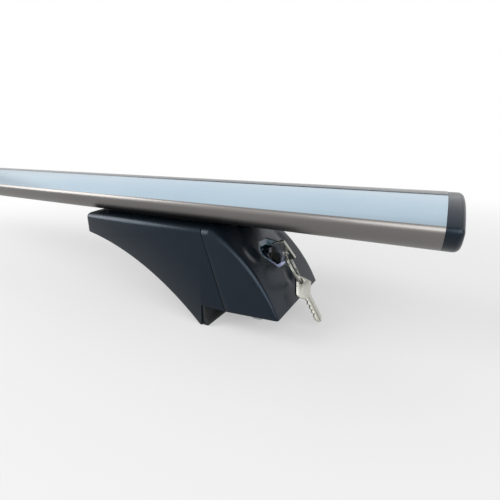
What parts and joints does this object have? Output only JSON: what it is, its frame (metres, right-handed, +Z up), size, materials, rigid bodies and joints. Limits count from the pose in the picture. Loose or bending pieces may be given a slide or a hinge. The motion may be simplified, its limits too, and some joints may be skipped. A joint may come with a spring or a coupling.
{
  "type": "roof rack crossbar",
  "caption": "Aero aluminium roof bar on two lockable plastic feet with tails that clamp onto flush side rails, with keys in one lock.",
  "frame": {"origin": "middle of the bar, on the plane that the two inner claws stand on", "axes": "+X along the bar towards foot a, +Y along the car, +Z up"},
  "size_m": [1.216, 0.08, 0.1034],
  "materials": {
    "anodised_aluminium": "satin anodised extrusion",
    "satin_plastic": "fine-grained moulded glass-filled nylon",
    "rubber": "moulded black rubber",
    "zinc_steel": "bright zinc-plated steel",
    "lock_zinc": "dark plated zinc die casting",
    "nickel_steel": "nickel-plated stamped steel"
  },
  "bodies": {
    "bar": {"crossbar": "anodised_aluminium", "top_strip": "rubber", "end_cap_a": "satin_plastic", "end_cap_b": "satin_plastic"},
    "foot_a": {"foot_body_a": "satin_plastic", "saddle_pad_a": "rubber", "rail_pad_a": "rubber", "claw_pad_a": "rubber", "bar_bolts_a": "zinc_steel", "bar_washers_a": "zinc_steel", "channel_nut_a": "zinc_steel", "clamp_nut_a": "zinc_steel"},
    "jaw_a": {"clamp_jaw_a": "zinc_steel", "jaw_pad_a": "rubber", "clamp_washer_a": "zinc_steel"},
    "bolt_a": {"clamp_bolt_a": "zinc_steel"},
    "cover_a": {"cover_a": "satin_plastic", "lock_housing_a": "lock_zinc"},
    "plug_a": {"lock_plug_a": "lock_zinc", "lock_cam_a": "zinc_steel", "cam_nut_a": "zinc_steel"},
    "foot_b": {"foot_body_b": "satin_plastic", "saddle_pad_b": "rubber", "rail_pad_b": "rubber", "claw_pad_b": "rubber", "bar_bolts_b": "zinc_steel", "bar_washers_b": "zinc_steel", "channel_nut_b": "zinc_steel", "clamp_nut_b": "zinc_steel"},
    "jaw_b": {"clamp_jaw_b": "zinc_steel", "jaw_pad_b": "rubber", "clamp_washer_b": "zinc_steel"},
    "bolt_b": {"clamp_bolt_b": "zinc_steel"},
    "cover_b": {"cover_b": "satin_plastic", "lock_housing_b": "lock_zinc"},
    "plug_b": {"lock_plug_b": "lock_zinc", "lock_cam_b": "zinc_steel", "cam_nut_b": "zinc_steel"},
    "key": {"lock_key": "nickel_steel"},
    "ring": {"key_ring": "nickel_steel"},
    "spare": {"spare_key": "nickel_steel"}
  },
  "joints": [
    {"name": "foot_adjust_a", "type": "slide", "parent": "bar", "child": "foot_a", "axis": [1, 0, 0], "range_m": [-0.04, 0.04]},
    {"name": "jaw_close_a", "type": "slide", "parent": "foot_a", "child": "jaw_a", "axis": [-1, 0, 0], "range_m": [0, 0.008]},
    {"name": "bolt_turn_a", "type": "hinge", "parent": "jaw_a", "child": "bolt_a", "pos_m": [0.498, 0, 0.025], "axis": [-1, 0, 0], "range_deg": [0, 2881]},
    {"name": "cover_slide_a", "type": "slide", "parent": "foot_a", "child": "cover_a", "axis": [1, 0, 0], "range_m": [0, 0.06]},
    {"name": "plug_turn_a", "type": "hinge", "parent": "cover_a", "child": "plug_a", "pos_m": [0.48497, 0, 0.04539], "axis": [-0.9272, 0, -0.3746], "range_deg": [0, 90]},
    {"name": "foot_adjust_b", "type": "slide", "parent": "bar", "child": "foot_b", "axis": [-1, 0, 0], "range_m": [-0.04, 0.04]},
    {"name": "jaw_close_b", "type": "slide", "parent": "foot_b", "child": "jaw_b", "axis": [1, 0, 0], "range_m": [0, 0.008]},
    {"name": "bolt_turn_b", "type": "hinge", "parent": "jaw_b", "child": "bolt_b", "pos_m": [-0.498, 0, 0.025], "axis": [1, 0, 0], "range_deg": [0, 2881]},
    {"name": "cover_slide_b", "type": "slide", "parent": "foot_b", "child": "cover_b", "axis": [-1, 0, 0], "range_m": [0, 0.06]},
    {"name": "plug_turn_b", "type": "hinge", "parent": "cover_b", "child": "plug_b", "pos_m": [-0.48497, 0, 0.04539], "axis": [-0.9272, 0, 0.3746], "range_deg": [0, 90]},
    {"name": "key_pull", "type": "slide", "parent": "plug_a", "child": "key", "axis": [0.9272, 0, 0.3746], "range_m": [0, 0.024]},
    {"name": "ring_swing", "type": "hinge", "parent": "key", "child": "ring", "pos_m": [0.50481, 0, 0.0531], "axis": [0, -1, 0], "range_deg": [0, 40]},
    {"name": "spare_swing", "type": "hinge", "parent": "ring", "child": "spare", "pos_m": [0.51793, -0.00401, 0.03489], "axis": [0, -1, 0], "range_deg": [0, 30]}
  ],
  "couplings": [
    {"joint": "bolt_turn_a", "follows": "jaw_close_a", "rad_per_m": 6283.2},
    {"joint": "bolt_turn_b", "follows": "jaw_close_b", "rad_per_m": 6283.2}
  ]
}
